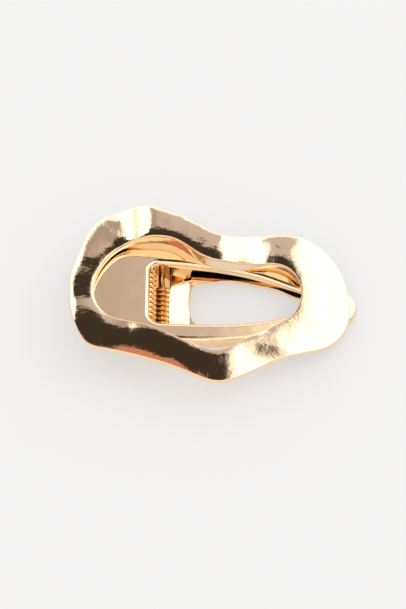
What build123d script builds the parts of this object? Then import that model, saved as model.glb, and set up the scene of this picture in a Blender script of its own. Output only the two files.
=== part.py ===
"""Beak hair clip: two pressed sheet arms on a sprung hinge, carrying a cast open ring.

Units are millimetres. While each piece is modelled the hinge axis lies along Y at X = 0, +X runs
to the tip, +Z is up and Z = 0 is the table that the closed clip lies on. The finished pieces are
moved so that the origin is under the middle of the whole clip.
"""

import os
from math import acos, atan2, cos, degrees, exp, floor, hypot, pi, radians, sin

from build123d import *

# Move from the hinge to the middle of the clip, seen from above.
MIDDLE_X = 16.398
MIDDLE_Y = -1.345

# Half width of blocks that must reach past the sides of the arms.
CUT_WIDTH = 18

# Sheet metal of the arms.
SHEET = 0.8
ROLLED_EDGE = 1.2

# Hinge.
PIN_Z = 5.85
PIN_RADIUS = 0.95
PIN_CLEARANCE = 0.05
EAR_RADIUS = 2.4
EAR_FRONT = 8
RIVET_HEAD_RADIUS = 1.7
RIVET_HEAD_HEIGHT = 0.7

# Upper arm. Each width is measured from the window's middle line: near side, then far side.
UPPER_REAR = -16.6
UPPER_REAR_WIDTHS = (9.0, 10.8)
UPPER_WIDTHS = (12.9, 14.9)
UPPER_TIP = 51.05
UPPER_TIP_RADIUS = 5.3
UPPER_TOP_AT_HINGE = 9.5
THUMB_SLOPE = 0.045
JAW_SLOPE = 0.105
JAW_BOW = 0.00095
WINDOW_LIP = 1.9
WINDOW_REAR_LIP = 1.1
WINDOW_REAR = 0.9
WINDOW_TIP = 39.6
UPPER_WINDOW_SIDE = [(3.4, 8.1), (13.0, 7.8), (21.0, 7.1), (28.5, 5.7), (35.2, 3.6)]
THUMB_CORNER = 5.0

# Lower arm.
LOWER_REAR = -16.7
LOWER_REAR_WIDTHS = (8.9, 10.7)
LOWER_WIDTHS = (12.0, 14.0)
LOWER_TIP = 50.9
LOWER_TIP_RADIUS = 5.1
LOWER_BENDS = [(-16.7, 0.8), (1.6, 1.55), (5.8, 3.15), (10.6, 3.9), (50.9, 0.8)]
LOWER_BEND_RADIUS = 3.0
LOWER_WINDOW_REAR = 10.3
LOWER_WINDOW_TIP = 38.8
LOWER_WINDOW_SIDE = [(13.4, 6.7), (20.0, 6.5), (27.4, 5.5), (32.2, 4.3), (36.3, 2.5)]

# Spring.
WIRE_RADIUS = 0.57
COIL_RADIUS = 1.78
COIL_PITCH = 1.38
LEG_REACH = 11.0

# Cast ring.
RING_REAR_HEIGHT = 10.6
RING_EDGE_THICKNESS = 1.2
RING_CROWN = 0.34
SKIRT_SHARE = 0.75
SKIRT_CLEARANCE = 0.5

# Stations around the ring, from the middle of the far rail towards the tip and back.
# Each gives the inner edge x, y, then the outer edge x, y, seen from above.
RING_STATIONS = [
    (17.7, 6.2, 20.6, 13.4),
    (23.3, 6.6, 26.1, 15.3),
    (28.9, 8.0, 32.0, 16.3),
    (33.2, 7.6, 37.8, 16.0),
    (36.1, 5.2, 43.7, 12.8),
    (37.2, 1.4, 47.7, 6.7),
    (36.6, -2.4, 49.1, -0.9),
    (34.6, -5.7, 48.0, -7.4),
    (31.0, -8.3, 43.6, -12.7),
    (27.1, -10.6, 36.6, -15.8),
    (23.3, -13.0, 28.9, -19.0),
    (20.0, -15.3, 21.8, -23.1),
    (16.5, -16.4, 16.0, -24.3),
    (12.0, -15.3, 9.9, -22.2),
    (6.4, -12.8, 3.1, -19.6),
    (0.2, -10.2, -3.5, -17.6),
    (-6.0, -8.5, -9.8, -16.3),
    (-9.3, -7.2, -14.5, -14.2),
    (-11.5, -4.5, -17.7, -6.7),
    (-12.3, -1.0, -18.2, -1.0),
    (-11.7, 2.7, -17.9, 3.5),
    (-9.6, 6.9, -15.6, 10.5),
    (-5.9, 10.7, -11.6, 18.2),
    (-1.0, 12.2, -3.2, 21.6),
    (4.3, 12.4, 4.4, 20.2),
    (8.8, 10.7, 11.0, 17.2),
    (13.2, 7.6, 15.8, 14.2),
]


def place(piece):
    """Move a finished piece from the hinge's frame to the clip's frame."""
    return piece.moved(Location((-MIDDLE_X, -MIDDLE_Y, 0)))


def bump(x, middle, spread):
    """Bell curve of height 1."""
    return exp(-(((x - middle) / spread) ** 2) / 2)


def upper_top(x):
    """Height of the upper arm's top face: a straight thumb plate, then a slightly bowed jaw."""
    if x < 0:
        return UPPER_TOP_AT_HINGE - THUMB_SLOPE * x
    return UPPER_TOP_AT_HINGE - JAW_SLOPE * x - JAW_BOW * x * x


def lower_top(x):
    """Height of the lower arm's top face: straight between its bends, which stay sharp here."""
    k = 0
    while k < len(LOWER_BENDS) - 2 and x > LOWER_BENDS[k + 1][0]:
        k += 1
    (start_x, start_z), (end_x, end_z) = LOWER_BENDS[k], LOWER_BENDS[k + 1]
    return start_z + (end_z - start_z) * (x - start_x) / (end_x - start_x)


def step(x, start, end):
    """Smooth rise from 0 at start to 1 at end."""
    t = min(1, max(0, (x - start) / (end - start)))
    return t * t * (3 - 2 * t)


def ramp(x, soft):
    """0 below zero, then a slope of 1 that comes in softly."""
    if x <= 0:
        return 0
    if x < soft:
        return x * x / (2 * soft)
    return x - soft / 2


def ring_underside(x, y):
    """Height of the ring's underside: waves down each rail to the tip, joined across the ring."""
    rear = RING_REAR_HEIGHT - THUMB_SLOPE * x
    far = 2.1 * step(x, -9, 2.5) - 4.3 * step(x, 17.5, 29) - 3.5 * step(x, 36.5, 53)
    brow = 15.5 - 0.35 * (y + 17)
    near = 1.3 * step(x, -8, 10) - 0.225 * ramp(x - brow, 6) + 0.7 * bump(x, 34.5, 4)
    tilt = 0.065 * y - 0.10 * ramp(-y - 9, 4) - 0.065 * ramp(y - 8, 5)
    tilt -= 0.06 * ramp(y - 8, 3) * (1 - step(x, -8, -1))
    tilt -= 0.34 * step(y, -9.4, -3) * (1 - step(x, -15, -9))
    tilt -= 0.5 * step(y, -13.5, -7) * bump(x, -5, 3)
    return rear + near + (far - near) * step(y, -14, 0) + tilt * (1 - step(x, 26, 44))


def ring_station(u):
    """Inner and outer edge at any place round the ring, on a smooth closed curve (Catmull-Rom)."""
    count = len(RING_STATIONS)
    k = floor(u)
    t = u - k
    before, here, after, beyond = (RING_STATIONS[(k + i) % count] for i in (-1, 0, 1, 2))
    station = []
    for a, b, c, d in zip(before, here, after, beyond):
        bend = (2 * a - 5 * b + 4 * c - d) * t * t + (3 * b - a - 3 * c + d) * t**3
        station.append((2 * b + (c - a) * t + bend) / 2)
    return station


def ring_skirt(x, y):
    """Reach of the inner edge down towards the arm, where the ring stands well clear of it."""
    gap = ring_underside(x, y) - upper_top(x)
    return SKIRT_SHARE * max(0, gap - SKIRT_CLEARANCE)


def ring_section(u):
    """Closed outline of the band at one place: crowned above, round edges, deeper inside."""
    xi, yi, xo, yo = ring_station(u)
    inner = Vector(xi, yi, ring_underside(xi, yi))
    outer = Vector(xo, yo, ring_underside(xo, yo))
    width = hypot(xo - xi, yo - yi)
    edge = RING_EDGE_THICKNESS / 2
    skirt = ring_skirt(xi, yi)

    def at(along, up):
        return inner + (outer - inner) * (along / width) + Vector(0, 0, up)

    below = Line(at(edge, -skirt), at(width - edge, 0))
    outer_end = ThreePointArc(at(width - edge, 0), at(width, edge), at(width - edge, 2 * edge))
    crown_top = at(width / 2, 2 * edge + RING_CROWN)
    above = ThreePointArc(at(width - edge, 2 * edge), crown_top, at(edge, 2 * edge))
    inner_end = ThreePointArc(at(edge, 2 * edge), at(0, edge - skirt / 2), at(edge, -skirt))
    return Wire([below.edge(), outer_end.edge(), above.edge(), inner_end.edge()])


def make_ring_plaque():
    """Loft round the ring; extra sections either side of the joint keep it smooth there."""
    count = len(RING_STATIONS)
    places = [0, 0.15] + [k / 2 for k in range(1, 2 * count)] + [count - 0.15]
    sections = [ring_section(u) for u in places]
    return Solid.make_loft(sections + [sections[0]])


def side_view(edges, half_width):
    """Solid swept across the clip from a closed outline drawn in the X-Z plane."""
    face = Face(Wire(edges))
    return Solid.extrude(face.moved(Location((0, half_width, 0))), Vector(0, -2 * half_width, 0))


def under_curve(top, start, end, drop, depth, half_width):
    """Block below a height curve lowered by drop, reaching depth further down."""
    steps = 6
    points = []
    for i in range(steps + 1):
        x = start + (end - start) * i / steps
        points.append((x, 0, top(x) - drop))
    roof = Spline(*points)
    floor_z = points[-1][2] - depth
    left = (start, 0, floor_z)
    right = (end, 0, floor_z)
    sides = Polyline(points[-1], right, left, points[0])
    return side_view([roof.edge()] + list(sides.edges()), half_width)


def closed_outline(far_half, near_half):
    """Closed face from edges that run from the rear to the tip, once for each side."""
    return Face(Wire(far_half + [edge.mirror(Plane.XZ) for edge in near_half]))


def arm_half(rear, rear_half, half, tip, tip_radius, inset, cut_corner):
    """Half of an arm's plan: blunt thumb end, straight by the hinge, long taper, round tip."""
    rear += inset
    rear_half -= inset
    half -= inset
    corner = THUMB_CORNER
    turn = radians(65)
    centre = tip - tip_radius
    radius = tip_radius - inset
    shoulder = (centre + radius * cos(turn), radius * sin(turn), 0)
    splay = atan2(half - rear_half, -2 - (rear + corner))
    corner_end = (rear + corner - corner * sin(splay), rear_half - corner + corner * cos(splay), 0)
    end_edge = Line((rear, 0, 0), (rear, rear_half - corner, 0))
    if cut_corner:
        corner_edge = Line((rear, rear_half - corner, 0), corner_end)
    else:
        corner_edge = TangentArc((rear, rear_half - corner, 0), corner_end, tangent=(0, 1, 0))
    flare = Spline(
        corner_end, (-2, half, 0), tangents=((cos(splay), sin(splay), 0), (1, 0, 0))
    )
    hinge_side = Line((-2, half, 0), (EAR_FRONT, half, 0))
    taper = Spline(
        (EAR_FRONT, half, 0),
        (18, half - 0.65, 0),
        (30, 0.79 * half, 0),
        (41, 0.55 * half, 0),
        shoulder,
        tangents=((1, 0, 0), (sin(turn), -cos(turn), 0)),
    )
    tip_arc = TangentArc(shoulder, (centre + radius, 0, 0), tangent=(sin(turn), -cos(turn), 0))
    return [p.edge() for p in (end_edge, corner_edge, flare, hinge_side, taper, tip_arc)]


def arm_outline(rear, rear_widths, widths, tip, tip_radius, inset=0.0, cut_corner=False):
    """Plan outline of an arm, a little wider on its far side."""
    near = arm_half(rear, rear_widths[0], widths[0], tip, tip_radius, inset, cut_corner)
    far = arm_half(rear, rear_widths[1], widths[1], tip, tip_radius, inset, cut_corner)
    return closed_outline(far, near)


def window_outline(rear, corner_radius, side_points, tip, grow=0.0, rear_bulge=None):
    """Plan outline of a frame's window, grown outwards by grow."""
    first_x, first_y = side_points[0]
    rear -= grow
    corner_radius += grow
    if rear_bulge is None:
        corner_start = (rear, first_y + grow - corner_radius, 0)
        end_edge = Line((rear, 0, 0), corner_start)
        corner = TangentArc(corner_start, (rear + corner_radius, first_y + grow, 0), tangent=(0, 1, 0))
    else:
        sweep_angle = degrees(atan2(first_y - corner_radius, rear_bulge))
        end_edge = JernArc((rear, 0, 0), (0, 1, 0), rear_bulge, -sweep_angle)
        corner = JernArc(end_edge @ 1, end_edge % 1, corner_radius, sweep_angle - 91)
    points = [corner @ 1] + [(x, y + grow, 0) for x, y in side_points[1:]] + [(tip + grow, 0, 0)]
    side = Spline(*points, tangents=(corner % 1, (0, -1, 0)))
    half = [end_edge.edge(), corner.edge(), side.edge()]
    return closed_outline(half, half)


def column(face, low=-9, high=20):
    """Upright solid standing on a plan outline."""
    return Solid.extrude(face.moved(Location((0, 0, low))), Vector(0, 0, high - low))


def top_face(solid):
    """The broad face that looks up."""
    return max(solid.faces(), key=lambda f: f.normal_at(None).Z * f.area)


def pin_hole():
    """Clearance hole for the hinge pin through every ear."""
    radius = PIN_RADIUS + PIN_CLEARANCE
    plane = Plane(origin=(0, -20, PIN_Z), z_dir=(0, 1, 0))
    return Solid.make_cylinder(radius, 40, plane)


def touch_angle(x, z, radius, side):
    """Angle on a circle about the hinge where a line from the point (x, z) just touches it."""
    reach = hypot(x, z - PIN_Z)
    bearing = atan2(z - PIN_Z, x)
    return bearing + side * acos(radius / reach)


def on_circle(angle, radius, y=0.0):
    return (radius * cos(angle), y, PIN_Z + radius * sin(angle))


def upper_side_view():
    """Side view of the upper arm: thin thumb plate, round ears, and a flange that fades to the tip."""
    radius = EAR_RADIUS + 0.2
    roof = Spline(*[(x, 0, upper_top(x) + 3) for x in (-19, -8, 3, 15, 27, 40, 52)])
    tip_end = (52, 0, upper_top(52) - SHEET)
    rear_end = (-19, 0, upper_top(-19) - SHEET)
    plate_end = (-11, 0, upper_top(-11) - SHEET)
    ear_rear = on_circle(radians(200), radius)
    ear_front = on_circle(radians(330), radius)
    front = Line(roof @ 1, tip_end)
    tip_sheet = Line(tip_end, (45, 0, upper_top(45) - SHEET))
    flange = Spline(
        tip_sheet @ 1,
        (28, 0, upper_top(28) - 2.0),
        (12, 0, upper_top(12) - 3.4),
        ear_front,
        tangents=(tip_sheet % 1, (-0.5, 0, -0.866)),
    )
    ear = ThreePointArc(ear_front, on_circle(radians(265), radius), ear_rear)
    run_out = Spline(ear_rear, plate_end, tangents=((-0.342, 0, 0.94), (-1, 0, THUMB_SLOPE)))
    plate = Line(plate_end, rear_end)
    back = Line(rear_end, roof @ 0)
    loop = (roof, front, tip_sheet, flange, ear, run_out, plate, back)
    return side_view([e.edge() for e in loop], CUT_WIDTH)


def under_lip():
    """Room below the window's lip, which is shallow over the spring and deeper along the rails."""
    shallow = WINDOW_REAR_LIP
    rear = Spline(*[(x, 0, upper_top(x) - shallow) for x in (-19, -9, 0, 2.4)])
    deeper = Line(rear @ 1, (8, 0, upper_top(8) - WINDOW_LIP))
    rails = Spline(*[(x, 0, upper_top(x) - WINDOW_LIP) for x in (8, 20, 30, 40, 52)])
    sides = Polyline(rails @ 1, (52, 0, -9), (-19, 0, -9), rear @ 0)
    return side_view([rear.edge(), deeper.edge(), rails.edge()] + list(sides.edges()), CUT_WIDTH)


def make_upper_arm():
    size = (UPPER_REAR, UPPER_REAR_WIDTHS, UPPER_WIDTHS, UPPER_TIP, UPPER_TIP_RADIUS)
    span = (-19, 52.5)
    window = window_outline(WINDOW_REAR, 2.5, UPPER_WINDOW_SIDE, WINDOW_TIP)
    blank = column(arm_outline(*size)) & under_curve(upper_top, *span, 0, 16, CUT_WIDTH)
    blank = blank - column(window)
    blank = blank.fillet(ROLLED_EDGE, top_face(blank).edges())
    arm = blank & upper_side_view()

    inner = column(arm_outline(*size, inset=SHEET))
    grown_window = window_outline(WINDOW_REAR, 2.5, UPPER_WINDOW_SIDE, WINDOW_TIP, grow=SHEET)
    pocket = (inner & under_curve(upper_top, *span, SHEET, 16, CUT_WIDTH)) - column(grown_window)
    return arm - pocket - (inner & under_lip()) - pin_hole()


def lower_ear(side):
    """Ear that stands up from one edge of the lower arm, round about the hinge pin."""
    rear = (-4.2, 0, lower_top(-4.2) - SHEET / 2)
    front = (5.0, 0, lower_top(5.0) - SHEET / 2)
    foot = (1.7, 0, lower_top(1.6) - SHEET / 2)
    rear_touch = on_circle(touch_angle(rear[0], rear[2], EAR_RADIUS, -1), EAR_RADIUS)
    front_touch = on_circle(touch_angle(front[0], front[2], EAR_RADIUS, 1), EAR_RADIUS)
    crest = on_circle(radians(90), EAR_RADIUS)
    loop = (
        Line(rear, rear_touch),
        ThreePointArc(rear_touch, crest, front_touch),
        Line(front_touch, front),
        Line(front, foot),
        Line(foot, rear),
    )
    face = Face(Wire([e.edge() for e in loop]))
    outside = LOWER_WIDTHS[1] if side > 0 else -LOWER_WIDTHS[0]
    return Solid.extrude(face.moved(Location((0, outside, 0))), Vector(0, -side * SHEET, 0))


def make_lower_arm():
    profile = [LOWER_REAR - 1] + [x for x, z in LOWER_BENDS[1:-1]] + [LOWER_TIP + 1]
    top = [(x, 0, lower_top(x)) for x in profile]
    bottom = [(x, 0, lower_top(x) - SHEET) for x in reversed(profile)]
    sheet = side_view(Polyline(*top, *bottom, close=True).edges(), CUT_WIDTH)
    bends = sheet.edges().filter_by(Axis.Y).filter_by_position(Axis.X, LOWER_REAR, LOWER_TIP)
    sheet = sheet.fillet(LOWER_BEND_RADIUS, bends)
    size = (LOWER_REAR, LOWER_REAR_WIDTHS, LOWER_WIDTHS, LOWER_TIP, LOWER_TIP_RADIUS)
    window = window_outline(
        LOWER_WINDOW_REAR, 1.8, LOWER_WINDOW_SIDE, LOWER_WINDOW_TIP, rear_bulge=13.2
    )
    arm = (sheet & column(arm_outline(*size, cut_corner=True))) - column(window)
    arm = arm.fillet(0.25, top_face(arm).edges())
    arm = arm + lower_ear(1) + lower_ear(-1)
    return arm - pin_hole()


def make_hinge_pin():
    """Rivet: plain shank with a low domed head at each end."""
    near = -UPPER_WIDTHS[0] - 0.03
    far = UPPER_WIDTHS[1] + 0.03
    shank = Solid.make_cylinder(PIN_RADIUS, far - near, Plane((0, near, PIN_Z), z_dir=(0, 1, 0)))
    pin = shank
    for side, end in ((-1, near), (1, far)):
        seat = Plane(origin=(0, end, PIN_Z), z_dir=(0, side, 0))
        head = Solid.make_cylinder(RIVET_HEAD_RADIUS, RIVET_HEAD_HEIGHT, seat)
        rim = head.edges().sort_by(Axis.Y)[-1 if side > 0 else 0]
        pin = pin + head.fillet(RIVET_HEAD_HEIGHT * 0.8, [rim])
    return pin


def make_torsion_spring():
    """Close coil about the pin; its legs run back, one under each thumb plate."""
    gap = WIRE_RADIUS + 0.03
    upper_end_z = upper_top(-LEG_REACH) - SHEET - gap
    lower_end_z = lower_top(-LEG_REACH) + gap
    upper_angle = touch_angle(-LEG_REACH, upper_end_z, COIL_RADIUS, -1)
    lower_angle = touch_angle(-LEG_REACH, lower_end_z, COIL_RADIUS, 1)
    turns = 10 + (upper_angle - lower_angle) / (2 * pi)
    length = turns * COIL_PITCH
    helix = Edge.make_helix(COIL_PITCH, length, COIL_RADIUS, lefthand=True)
    helix = helix.moved(Location((0, -length / 2, PIN_Z), (-90, 0, 0)))
    helix = helix.rotate(Axis((0, 0, PIN_Z), (0, -1, 0)), degrees(lower_angle))
    lower_run = (LEG_REACH + (helix @ 0).X) / (helix % 0).X
    upper_run = (LEG_REACH + (helix @ 1).X) / -(helix % 1).X
    lower_leg = Edge.make_line(helix @ 0 - (helix % 0) * lower_run, helix @ 0)
    upper_leg = Edge.make_line(helix @ 1, helix @ 1 + (helix % 1) * upper_run)
    path = Wire([lower_leg, helix, upper_leg])
    start = Plane(origin=path @ 0, z_dir=path % 0)
    return sweep(start * Circle(WIRE_RADIUS), path=path).solids()[0]


def solder_bed(start, end, half_width, rise):
    """Sloping slab that fills the gap between the upper arm and the ring, before they are cut out."""
    steps = [start + (end - start) * i / 3 for i in range(4)]
    roof = Spline(*[(x, 0, upper_top(x) + rise) for x in steps])
    floor = Spline(*[(x, 0, upper_top(x) - 0.3) for x in steps])
    loop = (roof, Line(roof @ 1, floor @ 1), floor, Line(floor @ 0, roof @ 0))
    slab = side_view([e.edge() for e in loop], half_width)
    return slab.fillet(1.2, slab.edges().filter_by(Axis.Z))


def make_solder(start, end, half_width, rise, ring, arm):
    """Solder joint: touches the arm below and the ring above."""
    left_over = solder_bed(start, end, half_width, rise) - ring - arm
    return max(left_over.solids(), key=lambda solid: solid.volume)


def main():
    ring = make_ring_plaque()
    upper_arm = make_upper_arm()
    pieces = {
        "ring_plaque": ring,
        "upper_arm": upper_arm,
        "lower_arm": make_lower_arm(),
        "hinge_pin": make_hinge_pin(),
        "torsion_spring": make_torsion_spring(),
        "rear_solder": make_solder(-16.2, -12.9, 6.0, 1.5, ring, upper_arm),
        "front_solder": make_solder(42.6, 47.4, 3.2, 2.0, ring, upper_arm),
    }
    os.makedirs("parts", exist_ok=True)
    for name, piece in pieces.items():
        export_step(place(piece), "parts/" + name + ".step")


main()
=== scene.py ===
"""Beak hair clip lying on a pale floor, in soft studio light.

Everything is in metres, in the same frame as the CAD model. The ring and the spring are built
here in place of their CAD solids; the arms, the hinge pin and the solder are the CAD solids.
"""

import math

import bpy
import numpy as np
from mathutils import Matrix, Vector

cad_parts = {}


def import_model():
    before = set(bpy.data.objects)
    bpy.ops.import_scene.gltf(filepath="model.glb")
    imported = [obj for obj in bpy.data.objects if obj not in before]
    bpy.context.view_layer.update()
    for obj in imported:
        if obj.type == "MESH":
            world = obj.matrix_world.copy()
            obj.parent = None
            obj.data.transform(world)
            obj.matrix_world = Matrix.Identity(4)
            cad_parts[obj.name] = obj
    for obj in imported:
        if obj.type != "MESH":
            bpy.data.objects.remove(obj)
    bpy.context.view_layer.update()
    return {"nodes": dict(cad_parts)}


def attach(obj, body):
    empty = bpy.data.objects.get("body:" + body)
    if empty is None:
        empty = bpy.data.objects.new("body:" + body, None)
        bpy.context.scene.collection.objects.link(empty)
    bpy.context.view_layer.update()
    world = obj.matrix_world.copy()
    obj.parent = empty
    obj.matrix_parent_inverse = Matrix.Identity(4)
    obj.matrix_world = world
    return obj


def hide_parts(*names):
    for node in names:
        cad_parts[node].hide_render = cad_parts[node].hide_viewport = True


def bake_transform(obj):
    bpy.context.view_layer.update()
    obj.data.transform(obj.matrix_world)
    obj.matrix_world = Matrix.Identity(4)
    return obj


MM = 0.001
# Where the middle of the hinge is, in millimetres.
HINGE_X = -16.398
HINGE_Y = 1.345
HINGE_Z = 5.85

# Ring: stations from the middle of the far rail towards the tip and round.
# Each gives the inner edge x, y, then the outer edge x, y, in millimetres from the hinge.
RING_STATIONS = [
    (17.7, 6.2, 20.6, 13.4),
    (23.3, 6.6, 26.1, 15.3),
    (28.9, 8.0, 32.0, 16.3),
    (33.2, 7.6, 37.8, 16.0),
    (36.1, 5.2, 43.7, 12.8),
    (37.2, 1.4, 47.7, 6.7),
    (36.6, -2.4, 49.1, -0.9),
    (34.6, -5.7, 48.0, -7.4),
    (31.0, -8.3, 43.6, -12.7),
    (27.1, -10.6, 36.6, -15.8),
    (23.3, -13.0, 28.9, -19.0),
    (20.0, -15.3, 21.8, -23.1),
    (16.5, -16.4, 16.0, -24.3),
    (12.0, -15.3, 9.9, -22.2),
    (6.4, -12.8, 3.1, -19.6),
    (0.2, -10.2, -3.5, -17.6),
    (-6.0, -8.5, -9.8, -16.3),
    (-9.3, -7.2, -14.5, -14.2),
    (-11.5, -4.5, -17.7, -6.7),
    (-12.3, -1.0, -18.2, -1.0),
    (-11.7, 2.7, -17.9, 3.5),
    (-9.6, 6.9, -15.6, 10.5),
    (-5.9, 10.7, -11.6, 18.2),
    (-1.0, 12.2, -3.2, 21.6),
    (4.3, 12.4, 4.4, 20.2),
    (8.8, 10.7, 11.0, 17.2),
    (13.2, 7.6, 15.8, 14.2),
]
# Half the thickness at the edges, how far the rounding reaches in, and the rise of the crown.
RING_EDGE = 0.6
RING_EDGE_ROUND = 0.32
RING_CROWN = 0.34
# Keeps the smoother curve of this ring inside the box of the CAD ring.
RING_FIT = 0.998
# Share of the gap above the arm that the ring's inner edge closes, beyond a clearance.
RING_SKIRT_SHARE = 0.75
RING_SKIRT_CLEARANCE = 0.5
# Mesh steps round the ring, across its top, round each edge, and across below.
RING_AROUND = 640
RING_ACROSS = 44
RING_END = 9
RING_ACROSS_BELOW = 10

# Arms, which the ring and the spring are fitted to.
UPPER_TOP_AT_HINGE = 9.5
THUMB_SLOPE = 0.045
JAW_SLOPE = 0.105
JAW_BOW = 0.00095
LOWER_REAR = -16.7
LOWER_REAR_TOP = 0.8
LOWER_BEND = 1.6
LOWER_BEND_TOP = 1.55
SHEET = 0.8

# Spring.
WIRE_RADIUS = 0.57
COIL_RADIUS = 1.78
COIL_PITCH = 1.38
LEG_REACH = 11.0
COIL_TURNS = 10
WIRE_GAP = 0.03
# Mesh points per turn of the coil, points round the wire, and points along each leg.
COIL_STEPS = 44
WIRE_AROUND = 20
LEG_STEPS = 14
# Rounded ends of the wire: shares of its radius, and millimetres set back per unit of share.
WIRE_END_SHARES = (0.45, 0.86, 1.0)
WIRE_END_DEPTH = 0.16

# Camera: it looks down at the near side of the clip, with the thumb end on the left.
CAMERA_ELEVATION = 60.0
CAMERA_DISTANCE = 0.450
CAMERA_LENS = 109.0
LOOK_AT = (-0.002755, 0.003145, 0.0)

GOLD = (1.0, 0.80, 0.56)
# Strength of the hairline scratches in every metal.
SCRATCH = 0.5


def smooth_step(x, start, end):
    t = np.clip((x - start) / (end - start), 0, 1)
    return t * t * (3 - 2 * t)


def soft_ramp(x, soft):
    return np.where(x < soft, np.clip(x, 0, None) ** 2 / (2 * soft), x - soft / 2)


def bump(x, middle, spread):
    return np.exp(-(((x - middle) / spread) ** 2) / 2)


def ring_underside(x, y):
    """Height of the ring's underside above the table; x and y are millimetres from the hinge."""
    rear = 10.6 - THUMB_SLOPE * x
    far = 2.1 * smooth_step(x, -9, 2.5) - 4.3 * smooth_step(x, 17.5, 29)
    far = far - 3.5 * smooth_step(x, 36.5, 53)
    brow = 15.5 - 0.35 * (y + 17)
    near = 1.3 * smooth_step(x, -8, 10) - 0.225 * soft_ramp(x - brow, 6) + 0.7 * bump(x, 34.5, 4)
    tilt = 0.065 * y - 0.10 * soft_ramp(-y - 9, 4) - 0.065 * soft_ramp(y - 8, 5)
    tilt = tilt - 0.06 * soft_ramp(y - 8, 3) * (1 - smooth_step(x, -8, -1))
    tilt = tilt - 0.34 * smooth_step(y, -9.4, -3) * (1 - smooth_step(x, -15, -9))
    tilt = tilt - 0.5 * smooth_step(y, -13.5, -7) * bump(x, -5, 3)
    height = rear + near + (far - near) * smooth_step(y, -14, 0)
    return height + tilt * (1 - smooth_step(x, 26, 44))


def closed_spline(values, places):
    """Smooth closed curve through evenly numbered values, read at the given places."""
    count = len(values)
    matrix = 4 * np.eye(count) + np.roll(np.eye(count), 1, 0) + np.roll(np.eye(count), -1, 0)
    rise = 3 * (np.roll(values, -1, 0) - np.roll(values, 1, 0))
    slopes = np.linalg.solve(matrix, rise)
    k = np.floor(places).astype(int) % count
    after = (k + 1) % count
    t = (places - np.floor(places))[:, None]
    a, b, c, d = values[k], values[after], slopes[k], slopes[after]
    return (
        (2 * t**3 - 3 * t**2 + 1) * a
        + (t**3 - 2 * t**2 + t) * c
        + (3 * t**2 - 2 * t**3) * b
        + (t**3 - t**2) * d
    )


def to_clip(points):
    """Millimetres from the hinge to metres in the clip's frame."""
    return (np.asarray(points) + np.array([HINGE_X, HINGE_Y, 0.0])) * MM


def mesh_object(name, points, faces):
    mesh = bpy.data.meshes.new(name)
    mesh.from_pydata([tuple(p) for p in points], [], faces)
    mesh.validate()
    mesh.update()
    mesh.shade_smooth()
    obj = bpy.data.objects.new(name, mesh)
    bpy.context.scene.collection.objects.link(obj)
    return obj


def grid_faces(rows, columns, closed_rows):
    """Quads of a grid whose columns close on themselves, and whose rows may too."""
    faces = []
    for i in range(rows if closed_rows else rows - 1):
        for j in range(columns):
            a = i * columns + j
            b = i * columns + (j + 1) % columns
            c = ((i + 1) % rows) * columns + (j + 1) % columns
            d = ((i + 1) % rows) * columns + j
            faces.append((a, b, c, d))
    return faces


def ring_profile(width):
    """Distance from the inner edge and height above the underside, right round the section."""
    turn = np.linspace(0, math.pi / 2, RING_END + 1)
    end_s = RING_EDGE_ROUND * (1 - np.cos(turn))
    end_z = RING_EDGE * np.sin(turn)
    middle = np.linspace(0, 1, RING_ACROSS)[1:-1]
    few = np.linspace(0, 1, RING_ACROSS_BELOW)[1:-1]
    full = width[:, None]

    def across(shares):
        return RING_EDGE_ROUND + (full - 2 * RING_EDGE_ROUND) * shares[None, :]

    ones = np.ones_like(full)
    top_s = np.concatenate([ones * end_s, across(middle), full - end_s[::-1]], 1)
    top_z = np.concatenate([ones * end_z, ones * (RING_EDGE + 0 * middle), ones * end_z[::-1]], 1)
    q = np.abs(2 * top_s / full - 1)
    top_z = RING_EDGE + top_z + RING_CROWN * (1 - q**3)
    low_s = np.concatenate([full - end_s[1:], across(few[::-1]), ones * end_s[::-1][:-1]], 1)
    low_z = np.concatenate([ones * end_z[1:], ones * (RING_EDGE + 0 * few), ones * end_z[::-1][:-1]], 1)
    low_z = RING_EDGE - low_z
    return np.concatenate([top_s, low_s], 1), np.concatenate([top_z, low_z], 1)


def upper_arm_top(x):
    """Height of the upper arm's top face, in millimetres."""
    drop = np.where(x < 0, THUMB_SLOPE * x, JAW_SLOPE * x + JAW_BOW * x * x)
    return UPPER_TOP_AT_HINGE - drop


def build_ring():
    """Cast ring: its section carried round the closed curve through the stations."""
    stations = np.array(RING_STATIONS)
    places = np.linspace(0, len(stations), RING_AROUND, endpoint=False)
    edges = closed_spline(stations, places)
    inner = edges[:, :2]
    outer = edges[:, 2:]
    inner_z = ring_underside(inner[:, 0], inner[:, 1])
    outer_z = ring_underside(outer[:, 0], outer[:, 1])
    width = np.hypot(*(outer - inner).T)
    s, z = ring_profile(width)
    share = s / width[:, None]
    gap = inner_z - upper_arm_top(inner[:, 0])
    skirt = RING_SKIRT_SHARE * np.clip(gap - RING_SKIRT_CLEARANCE, 0, None)
    z = z - skirt[:, None] * (1 - share) * np.clip(1 - z / RING_EDGE, 0, 1)
    x = inner[:, :1] + (outer[:, :1] - inner[:, :1]) * share
    y = inner[:, 1:] + (outer[:, 1:] - inner[:, 1:]) * share
    z = z + inner_z[:, None] + (outer_z - inner_z)[:, None] * share
    points = to_clip(np.stack([x, y, z], -1).reshape(-1, 3))
    points[:, 1] *= RING_FIT
    return mesh_object("ring_band", points, grid_faces(len(places), s.shape[1], True))


def lower_thumb_top(x):
    """Height of the lower thumb plate's top face, in millimetres."""
    rise = LOWER_BEND_TOP - LOWER_REAR_TOP
    return LOWER_REAR_TOP + rise * (x - LOWER_REAR) / (LOWER_BEND - LOWER_REAR)


def touch_angle(x, z, side):
    """Angle on the coil where a line from the point (x, z) just touches it."""
    reach = math.hypot(x, z - HINGE_Z)
    return math.atan2(z - HINGE_Z, x) + side * math.acos(COIL_RADIUS / reach)


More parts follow.
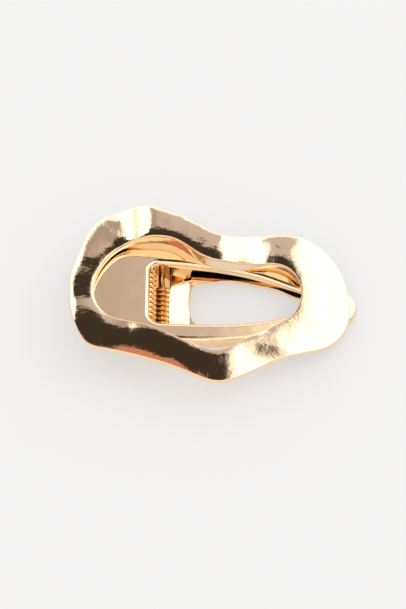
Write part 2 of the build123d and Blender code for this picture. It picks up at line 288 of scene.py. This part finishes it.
def spring_path():
    """Centre line of the wire, in millimetres from the hinge: leg, coil, leg."""
    gap = WIRE_RADIUS + WIRE_GAP
    start = touch_angle(-LEG_REACH, lower_thumb_top(-LEG_REACH) + gap, 1)
    end = touch_angle(-LEG_REACH, float(upper_arm_top(-LEG_REACH)) - SHEET - gap, -1)
    turns = COIL_TURNS + (end - start) / (2 * math.pi)
    angle = np.linspace(start, start + turns * 2 * math.pi, int(turns * COIL_STEPS))
    climb = COIL_PITCH / (2 * math.pi)
    length = turns * COIL_PITCH
    coil = np.stack(
        [
            COIL_RADIUS * np.cos(angle),
            -length / 2 + climb * (angle - start),
            HINGE_Z + COIL_RADIUS * np.sin(angle),
        ],
        -1,
    )

    def tangent(t):
        way = np.array([-COIL_RADIUS * math.sin(t), climb, COIL_RADIUS * math.cos(t)])
        return way / np.linalg.norm(way)

    first, last = tangent(angle[0]), tangent(angle[-1])
    run_in = (LEG_REACH + coil[0][0]) / first[0]
    run_out = (LEG_REACH + coil[-1][0]) / -last[0]
    shares = np.linspace(1, 0, LEG_STEPS, endpoint=False)
    leg_in = [coil[0] - first * run_in * k for k in shares]
    leg_out = [coil[-1] + last * run_out * k for k in shares[::-1]]
    return np.concatenate([leg_in, coil, leg_out])


def build_spring():
    """Wire swept along the spring's centre line, with rounded ends."""
    path = spring_path()
    ways = np.gradient(path, axis=0)
    ways /= np.linalg.norm(ways, axis=1)[:, None]
    side = np.cross(ways[0], [0, 1, 0])
    side /= np.linalg.norm(side)
    turn = np.linspace(0, 2 * math.pi, WIRE_AROUND, endpoint=False)
    circles = []
    for point, way in zip(path, ways):
        side = side - way * (side @ way)
        side /= np.linalg.norm(side)
        other = np.cross(way, side)
        circle = np.cos(turn)[:, None] * side + np.sin(turn)[:, None] * other
        circles.append(circle * WIRE_RADIUS)
    start_rows = []
    end_rows = []
    for share in WIRE_END_SHARES:
        set_back = WIRE_END_DEPTH * (share - WIRE_END_SHARES[0])
        start_rows.append(path[0] + ways[0] * set_back + circles[0] * share)
        end_rows.append(path[-1] - ways[-1] * set_back + circles[-1] * share)
    middle_rows = [point + circle for point, circle in zip(path[1:-1], circles[1:-1])]
    rows = start_rows + middle_rows + end_rows[::-1]
    points = to_clip(np.concatenate(rows))
    faces = grid_faces(len(rows), WIRE_AROUND, False)
    faces.append(tuple(range(WIRE_AROUND))[::-1])
    faces.append(tuple(range(len(points) - WIRE_AROUND, len(points))))
    return mesh_object("hinge_spring", points, faces)


class Graph:
    """Small helper that makes and links shader nodes."""

    def __init__(self, tree):
        self.tree = tree
        tree.nodes.clear()

    def add(self, kind, inputs=None, **settings):
        node = self.tree.nodes.new("ShaderNode" + kind)
        for name, value in settings.items():
            setattr(node, name, value)
        for key, value in (inputs or {}).items():
            self.set(node.inputs[key], value)
        return node

    def set(self, socket, value):
        if isinstance(value, bpy.types.NodeSocket):
            self.tree.links.new(value, socket)
        elif isinstance(value, tuple) and len(value) == 3 and socket.type == "RGBA":
            socket.default_value = (*value, 1.0)
        else:
            socket.default_value = value

    def math(self, operation, a, b=0.0, c=0.0, clamp=False):
        inputs = {0: a, 1: b, 2: c}
        return self.add("Math", inputs, operation=operation, use_clamp=clamp).outputs[0]

    def smooth(self, value, start, end):
        """Smooth step from 0 at start to 1 at end."""
        inputs = {"Value": value, "From Min": start, "From Max": end}
        return self.add("MapRange", inputs, interpolation_type="SMOOTHSTEP").outputs[0]

    def mix(self, factor, a, b):
        node = self.add("Mix", data_type="RGBA")
        self.set(node.inputs[0], factor)
        self.set(node.inputs[6], a)
        self.set(node.inputs[7], b)
        return node.outputs[2]

    def noise(self, where, scale, detail=2.0, roughness=0.5):
        inputs = {"Vector": where, "Scale": scale, "Detail": detail}
        inputs["Roughness"] = roughness
        return self.add("TexNoise", inputs).outputs[0]

    def stretched(self, where, scale, turn=0.0):
        inputs = {"Vector": where, "Scale": scale, "Rotation": (0.0, 0.0, turn)}
        return self.add("Mapping", inputs).outputs[0]


def plated_metal(name, tint, warm_tint, roughness, peel, waviness):
    """Polished plating: tint drift, slight orange peel, hand-polishing waves and hairline scratches.

    Peel and waviness are the slopes of the surface, in degrees.
    """
    material = bpy.data.materials.new(name)
    material.use_nodes = True
    g = Graph(material.node_tree)
    where = g.add("TexCoord").outputs["Object"]

    drift = g.noise(where, 110.0, 3.0, 0.55)
    drift = g.smooth(drift, 0.35, 0.68)
    colour = g.mix(drift, tint, warm_tint)
    specks = g.smooth(g.noise(where, 2600.0, 2.0, 0.6), 0.70, 0.78)
    dull = tuple(c * 0.82 for c in warm_tint)
    colour = g.mix(g.math("MULTIPLY", specks, 0.35), colour, dull)

    hair_a = g.noise(g.stretched(where, (260.0, 9000.0, 2600.0), 0.5), 1.0, 1.0)
    hair_b = g.noise(g.stretched(where, (8200.0, 300.0, 2600.0), -0.35), 1.0, 1.0)
    hairs = g.math("MAXIMUM", g.smooth(hair_a, 0.68, 0.78), g.smooth(hair_b, 0.69, 0.79))
    cloudy = g.noise(where, 420.0, 3.0, 0.6)
    rough = g.math("MULTIPLY_ADD", cloudy, 0.05, roughness - 0.025)
    rough = g.math("MULTIPLY_ADD", hairs, 0.06 * SCRATCH, rough)
    rough = g.math("MULTIPLY_ADD", specks, 0.10, rough)

    waves = g.noise(where, 190.0, 1.0)
    orange = g.noise(where, 1350.0, 2.0, 0.55)
    first = g.add(
        "Bump", {"Height": waves, "Distance": math.radians(waviness) / 190.0, "Strength": 1.0}
    ).outputs[0]
    second = g.add(
        "Bump",
        {"Height": orange, "Distance": math.radians(peel) / 1350.0, "Strength": 1.0, "Normal": first},
    ).outputs[0]
    third = g.add(
        "Bump",
        {"Height": hairs, "Distance": -0.0000002 * SCRATCH, "Strength": 1.0, "Normal": second},
    ).outputs[0]

    shader = g.add(
        "BsdfPrincipled",
        {"Base Color": colour, "Metallic": 1.0, "Roughness": rough, "Normal": third},
    )
    g.add("OutputMaterial", {"Surface": shader.outputs[0]})
    return material


def paint(obj, material):
    obj.data.materials.clear()
    obj.data.materials.append(material)


def studio_world():
    """Soft studio: what the metal mirrors is set by direction, and everything else sees plain light.

    The surround is laid out by x, to the right, and by turn, the angle in degrees from the far
    horizon (0) over the top (90) to the camera's horizon (180).
    """
    world = bpy.data.worlds.new("studio")
    world.use_nodes = True
    bpy.context.scene.world = world
    g = Graph(world.node_tree)
    way = g.add("TexCoord").outputs["Generated"]
    parts = g.add("SeparateXYZ", {0: way}).outputs
    x, y, z = parts[0], parts[1], parts[2]
    turn = g.math("MULTIPLY", g.math("ARCTAN2", z, y), 180 / math.pi)

    far_wall = (1.45, 1.40, 1.32)
    beige = g.mix(g.smooth(x, -0.08, 0.10), (0.42, 0.37, 0.35), (0.60, 0.55, 0.56))
    dark = (0.045, 0.037, 0.031)
    near_wall = (1.15, 1.10, 1.02)
    right_wall = (1.9, 1.85, 1.8)
    left_wall = (1.9, 1.85, 1.75)
    low_wall = (0.46, 0.42, 0.39)
    end_wall = (0.95, 0.90, 0.84)
    end_top = (0.36, 0.33, 0.31)
    # Pale far wall, a beige ceiling above it, and bright panels to the right and left.
    colour = g.mix(g.smooth(turn, 34, 42), far_wall, beige)
    right = g.math("MULTIPLY_ADD", g.smooth(turn, 64, 60), -0.10, x)
    colour = g.mix(g.smooth(right, 0.12, 0.34), colour, right_wall)
    colour = g.mix(g.smooth(x, -0.14, -0.28), colour, left_wall)
    # Dark hood overhead, weaker in second reflections.
    hood = g.math("MULTIPLY", g.smooth(turn, 61.5, 65), g.smooth(x, 0.50, 0.18))
    left = g.math("MULTIPLY_ADD", g.smooth(turn, 70, 80), 0.30, x)
    hood = g.math("MULTIPLY", hood, g.smooth(left, -0.36, -0.22))
    deeper = g.math("GREATER_THAN", g.add("LightPath").outputs["Ray Depth"], 2.5)
    hood = g.math("MULTIPLY", hood, g.math("MULTIPLY_ADD", deeper, -0.45, 1.0))
    colour = g.mix(hood, colour, dark)
    # Copper patch at the near left of the hood.
    copper = g.math("MULTIPLY", g.smooth(turn, 89, 92), g.smooth(x, -0.03, -0.07))
    copper = g.math("MULTIPLY", copper, g.smooth(x, -0.60, -0.50))
    colour = g.mix(copper, colour, (0.60, 0.27, 0.19))
    # Pale wall on the camera's side, darker low down.
    near_side = g.mix(g.smooth(z, 0.06, 0.42), low_wall, near_wall)
    colour = g.mix(g.smooth(turn, 112, 118), colour, near_side)
    # Shaded ends of the room, left and right, and its near right corner.
    ends = g.math("MAXIMUM", g.smooth(x, 0.78, 0.92), g.smooth(x, -0.52, -0.68))
    corners = g.math("MULTIPLY", g.smooth(turn, 112, 118), g.smooth(x, 0.35, 0.60))
    shade = g.math("MAXIMUM", ends, corners)
    colour = g.mix(shade, colour, g.mix(g.smooth(z, 0.10, 0.50), end_wall, end_top))
    colour = g.mix(g.smooth(z, 0.02, -0.02), colour, (0.90, 0.89, 0.88))

    path = g.add("LightPath").outputs
    plain = (1.0, 0.995, 0.99)
    colour = g.mix(path["Is Diffuse Ray"], colour, plain)
    colour = g.mix(path["Is Camera Ray"], colour, (0.88, 0.88, 0.88))
    back = g.add("Background", {"Color": colour, "Strength": 1.0})
    g.add("OutputWorld", {"Surface": back.outputs[0]})


def studio_floor():
    """Large pale floor."""
    size = 3.0
    corners = [(-size, -size, 0), (size, -size, 0), (size, size, 0), (-size, size, 0)]
    floor = mesh_object("floor", corners, [(0, 1, 2, 3)])
    material = bpy.data.materials.new("floor_paper")
    material.use_nodes = True
    g = Graph(material.node_tree)
    where = g.add("TexCoord").outputs["Object"]
    grain = g.noise(where, 900.0, 3.0)
    colour = g.mix(grain, (0.872, 0.868, 0.870), (0.884, 0.880, 0.882))
    matt = g.add("BsdfDiffuse", {"Color": g.mix(0.5, colour, (0.0, 0.0, 0.0))})
    lit = g.add("Emission", {"Color": colour, "Strength": 0.5})
    both = g.add("AddShader", {0: matt.outputs[0], 1: lit.outputs[0]})
    g.add("OutputMaterial", {"Surface": both.outputs[0]})
    floor.data.materials.append(material)


def soft_light(name, where, size, energy, colour):
    data = bpy.data.lights.new(name, "AREA")
    data.shape = "DISK"
    data.size = size
    data.energy = energy
    data.color = colour
    lamp = bpy.data.objects.new(name, data)
    bpy.context.scene.collection.objects.link(lamp)
    lamp.location = where
    lamp.rotation_mode = "QUATERNION"
    lamp.rotation_quaternion = (Vector((0, 0, 0)) - Vector(where)).to_track_quat("-Z", "Y")
    lamp.visible_glossy = False
    lamp.visible_camera = False
    return lamp


def place_camera():
    data = bpy.data.cameras.new("camera")
    data.lens = CAMERA_LENS
    data.sensor_width = 36.0
    data.sensor_fit = "AUTO"
    camera = bpy.data.objects.new("camera", data)
    bpy.context.scene.collection.objects.link(camera)
    up = math.radians(CAMERA_ELEVATION)
    back = Vector((0, -math.cos(up), math.sin(up)))
    camera.location = Vector(LOOK_AT) + back * CAMERA_DISTANCE
    camera.rotation_mode = "QUATERNION"
    camera.rotation_quaternion = (-back).to_track_quat("-Z", "Y")
    data.clip_start = 0.01
    data.clip_end = 20.0
    bpy.context.scene.camera = camera


def main():
    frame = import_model()
    nodes = frame["nodes"]

    ring_metal = plated_metal(
        "ring_gold", GOLD, (1.0, 0.77, 0.52), roughness=0.07, peel=2.2, waviness=2.2
    )
    arm_metal = plated_metal(
        "arm_gold", (1.0, 0.79, 0.54), (1.0, 0.75, 0.48), roughness=0.06, peel=0.35, waviness=0.5
    )
    spring_metal = plated_metal(
        "spring_wire", (1.0, 0.72, 0.38), (0.97, 0.66, 0.32), roughness=0.16, peel=0.9, waviness=0.4
    )
    pin_metal = plated_metal(
        "pin_gold", (1.0, 0.76, 0.48), (0.98, 0.70, 0.40), roughness=0.12, peel=0.6, waviness=0.5
    )
    solder_metal = plated_metal(
        "solder", (0.92, 0.76, 0.52), (0.86, 0.68, 0.42), roughness=0.30, peel=2.5, waviness=3.0
    )

    ring = build_ring()
    paint(ring, ring_metal)
    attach(ring, "upper")
    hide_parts("ring_plaque")

    spring = build_spring()
    paint(spring, spring_metal)
    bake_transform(spring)
    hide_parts("torsion_spring")

    for name, metal in (
        ("upper_arm", arm_metal),
        ("lower_arm", arm_metal),
        ("hinge_pin", pin_metal),
        ("rear_solder", solder_metal),
        ("front_solder", solder_metal),
    ):
        for material_slot in nodes[name].material_slots:
            material_slot.material = metal

    studio_world()
    studio_floor()
    soft_light("key", (0.5, 0.25, 0.7), 0.5, 0.6, (1.0, 0.98, 0.95))
    place_camera()
    bpy.context.scene.view_settings.view_transform = "Standard"


main()
